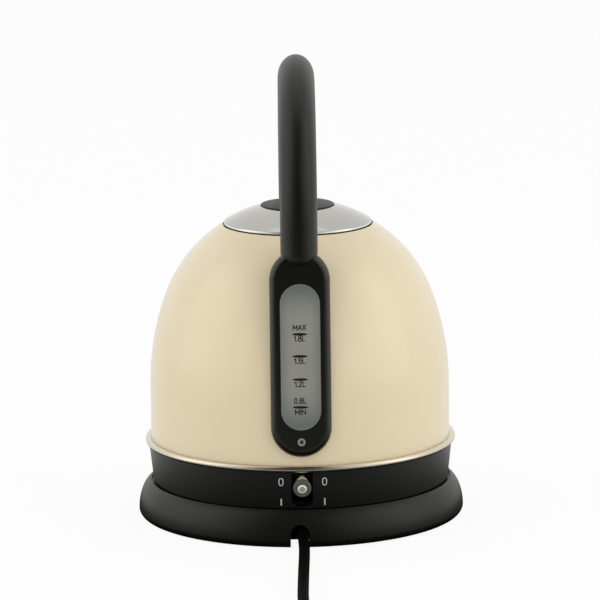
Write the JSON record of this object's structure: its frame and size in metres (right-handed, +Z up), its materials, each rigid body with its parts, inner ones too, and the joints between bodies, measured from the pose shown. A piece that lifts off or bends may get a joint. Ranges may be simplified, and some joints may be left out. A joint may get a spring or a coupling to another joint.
{
  "type": "electric kettle",
  "caption": "Cordless dome kettle with a lift-off lid, an arched handle over the top, a water gauge panel and a tip switch, standing on a round corded power base.",
  "frame": {"origin": "on the table, under the centre of the power base", "axes": "+Z up; -Y towards the gauge panel, the switch and the cord; +Y towards the spout"},
  "size_m": [0.193, 0.4869, 0.2752],
  "materials": {
    "cream_enamel": "glossy cream enamel",
    "polished_steel": "polished steel",
    "satin_steel": "satin steel",
    "screw_steel": "zinc plated",
    "black_plastic": "black, fine matte",
    "base_plastic": "black, fine matte",
    "inner_nylon": "dark grey moulding",
    "seal_rubber": "soft rubber",
    "steam_silicone": "milky silicone",
    "smoke_window": "frosted clear plastic",
    "frosted_lever": "frosted clear plastic",
    "red_lamp": "red lamp",
    "brass": "plain brass",
    "bimetal": "plain metal",
    "cord_sheath": "black flexible sheath"
  },
  "bodies": {
    "power_base": {"base_cover": "base_plastic", "base_plate": "base_plastic", "base_feet": "seal_rubber", "base_screws": "screw_steel", "base_socket": "base_plastic", "socket_contacts": "brass", "earth_clip": "brass", "cord_grommet": "cord_sheath", "cord_clamp": "base_plastic", "clamp_screws": "screw_steel", "mains_cord": "cord_sheath", "cord_coil": "cord_sheath", "cord_tie": "cord_sheath", "plug_body": "cord_sheath", "plug_pins": "brass", "plug_earth_clips": "brass"},
    "kettle": {"dome_shell": "cream_enamel", "lid_seat": "satin_steel", "spout": "cream_enamel", "spout_strainer": "satin_steel", "trim_ring": "satin_steel", "lower_housing": "black_plastic", "housing_screws": "screw_steel", "floor_plate": "satin_steel", "floor_seal": "seal_rubber", "diffuser_plate": "satin_steel", "heating_element": "satin_steel", "control_block": "inner_nylon", "control_screws": "screw_steel", "bimetal_discs": "bimetal", "coupler_sleeve": "brass", "coupler_pin": "brass", "steam_tube": "steam_silicone", "steam_bush": "seal_rubber", "switch_bracket": "inner_nylon", "toggle_pin": "screw_steel", "rocker_pin": "screw_steel", "pilot_lamp": "red_lamp", "gauge_housing": "black_plastic", "gauge_window": "smoke_window", "gauge_seals": "seal_rubber", "panel_screw": "polished_steel", "handle_left": "black_plastic", "handle_right": "black_plastic", "handle_strap": "satin_steel", "handle_posts": "satin_steel", "strap_screws": "screw_steel", "grip_screws": "screw_steel"},
    "lid": {"lid_cap": "polished_steel", "lid_liner": "inner_nylon", "lid_seal": "seal_rubber", "lid_knob": "black_plastic", "knob_screw": "screw_steel"},
    "toggle": {"toggle_lever": "frosted_lever", "toggle_core": "polished_steel", "toggle_shutter": "inner_nylon"},
    "rocker": {"switch_rocker": "inner_nylon"}
  },
  "joints": [
    {"name": "kettle_lift", "type": "slide", "parent": "power_base", "child": "kettle", "axis": [0, 0, 1], "range_m": [0, 0.08]},
    {"name": "lid_lift", "type": "slide", "parent": "kettle", "child": "lid", "axis": [0, 0, 1], "range_m": [0, 0.035]},
    {"name": "toggle_tip", "type": "hinge", "parent": "kettle", "child": "toggle", "pos_m": [0, -0.071, 0.04], "axis": [1, 0, 0], "range_deg": [0, 15]},
    {"name": "rocker_tip", "type": "hinge", "parent": "kettle", "child": "rocker", "pos_m": [0, -0.05, 0.0312], "axis": [1, 0, 0], "range_deg": [-12, 0]}
  ],
  "couplings": [
    {"joint": "rocker_tip", "follows": "toggle_tip", "ratio": -0.8}
  ]
}
